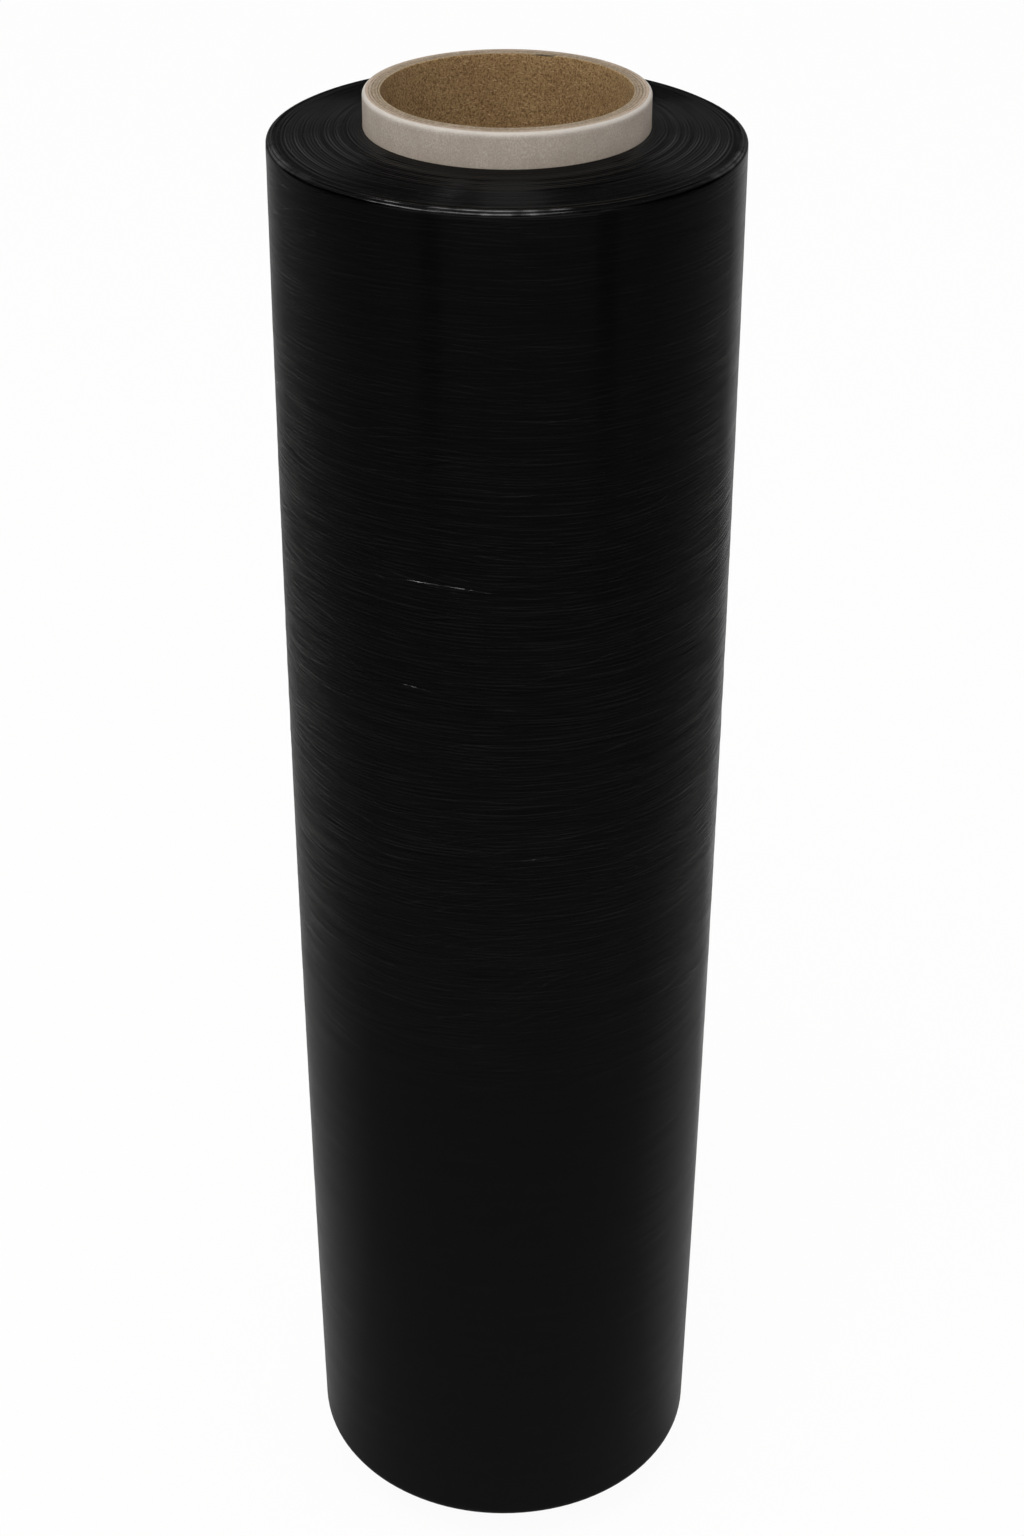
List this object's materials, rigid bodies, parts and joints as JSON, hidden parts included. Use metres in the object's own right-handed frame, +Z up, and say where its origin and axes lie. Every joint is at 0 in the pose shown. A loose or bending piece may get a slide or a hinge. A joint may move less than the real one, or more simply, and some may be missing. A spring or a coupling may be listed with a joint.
{
  "type": "stretch wrap roll",
  "caption": "Roll of black stretch film wound on a paperboard tube core that stands a little proud of the film at both ends.",
  "frame": {"origin": "middle of the core's lower end, where the roll stands", "axes": "+Z up along the core; the roll is round, and -Y is the side that faces the viewer in the picture"},
  "size_m": [0.1463, 0.1464, 0.5356],
  "materials": {
    "core_paperboard": "matte grey-beige outer ply, brown kraft bore",
    "stretch_film": "glossy black polyethylene film, fine wrinkles round the roll"
  },
  "bodies": {
    "root": {"core_tube": "core_paperboard", "film_roll": "stretch_film"}
  },
  "joints": []
}
